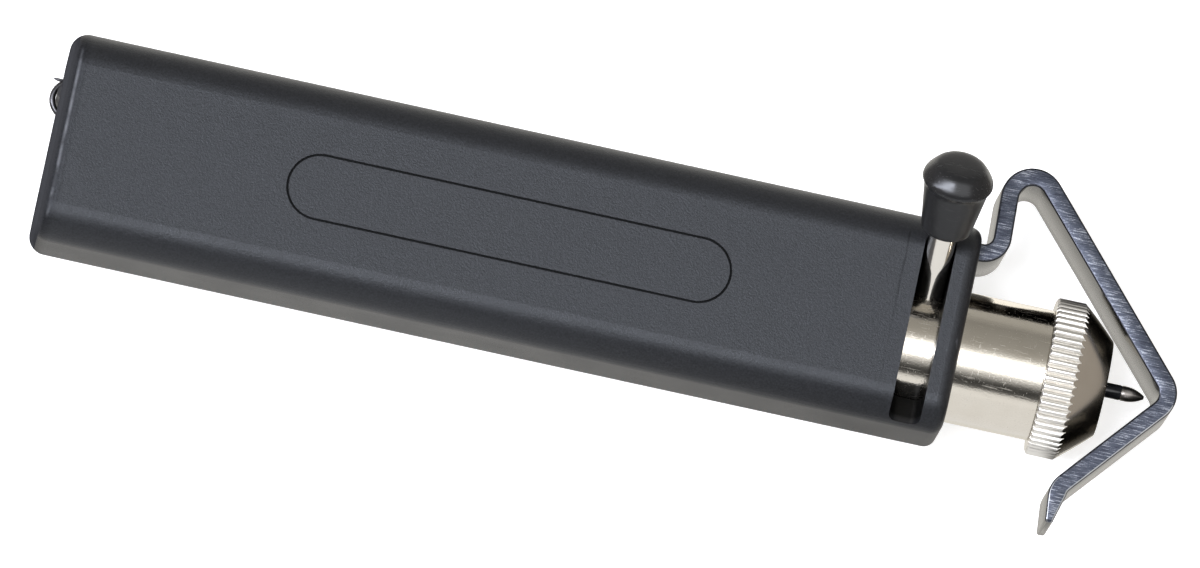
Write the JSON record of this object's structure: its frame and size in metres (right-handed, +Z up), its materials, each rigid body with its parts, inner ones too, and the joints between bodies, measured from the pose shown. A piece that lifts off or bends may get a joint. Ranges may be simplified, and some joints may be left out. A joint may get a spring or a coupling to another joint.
{
  "type": "cable slitter",
  "caption": "Handheld round-cable slitter: dark plastic handle, spring-loaded bent steel hook, turning nickel barrel with lever knob, pointed blade and knurled depth nut.",
  "frame": {"origin": "centre of the handle's flat back face, on the surface that the tool lies on", "axes": "+X along the handle towards the hook, +Y towards the side where the lever rests, +Z up out of the handle's front face"},
  "size_m": [0.1411, 0.0423, 0.0325],
  "materials": {
    "handle_plastic": "fine moulded grain, bluish dark grey",
    "knob_plastic": "smooth black, half gloss",
    "nickel": "warm nickel plate with fine scratches",
    "hook_steel": "bluish, ground across the strip's edges",
    "blade_steel": "dark hardened steel with a ground point",
    "spring_steel": "drawn wire",
    "screw_steel": "zinc plated",
    "ring_rubber": "black"
  },
  "bodies": {
    "handle": {"front_shell": "handle_plastic", "back_shell": "handle_plastic", "shell_screw_rear": "screw_steel", "shell_screw_middle": "screw_steel", "shell_screw_front": "screw_steel", "spring_anchor_pin": "screw_steel", "return_spring": "spring_steel"},
    "hook": {"hook": "hook_steel"},
    "cutter": {"barrel": "nickel", "barrel_ring": "ring_rubber", "lever_pin": "nickel", "lever_knob": "knob_plastic", "blade": "blade_steel", "blade_screw": "screw_steel"},
    "nut_ring": {"nut_ring": "ring_rubber"},
    "depth_nut": {"depth_nut": "nickel"}
  },
  "joints": [
    {"name": "hook_slide", "type": "slide", "parent": "handle", "child": "hook", "axis": [1, 0, 0], "range_m": [0, 0.025], "stiffness_N_per_m": 400, "springref_m": -0.01, "deforming": ["return_spring"]},
    {"name": "lever_swing", "type": "hinge", "parent": "handle", "child": "cutter", "pos_m": [0.0564, -0.00205, 0.0104], "axis": [1, 0, 0], "range_deg": [0, 90]},
    {"name": "nut_turn", "type": "hinge", "parent": "cutter", "child": "nut_ring", "pos_m": [0.0671, -0.00205, 0.0104], "axis": [1, 0, 0], "range_deg": [0, 414]},
    {"name": "nut_advance", "type": "slide", "parent": "nut_ring", "child": "depth_nut", "axis": [1, 0, 0], "range_m": [0, 0.00116]}
  ],
  "couplings": [
    {"joint": "nut_advance", "follows": "nut_turn", "m_per_rad": 0.00015915}
  ]
}
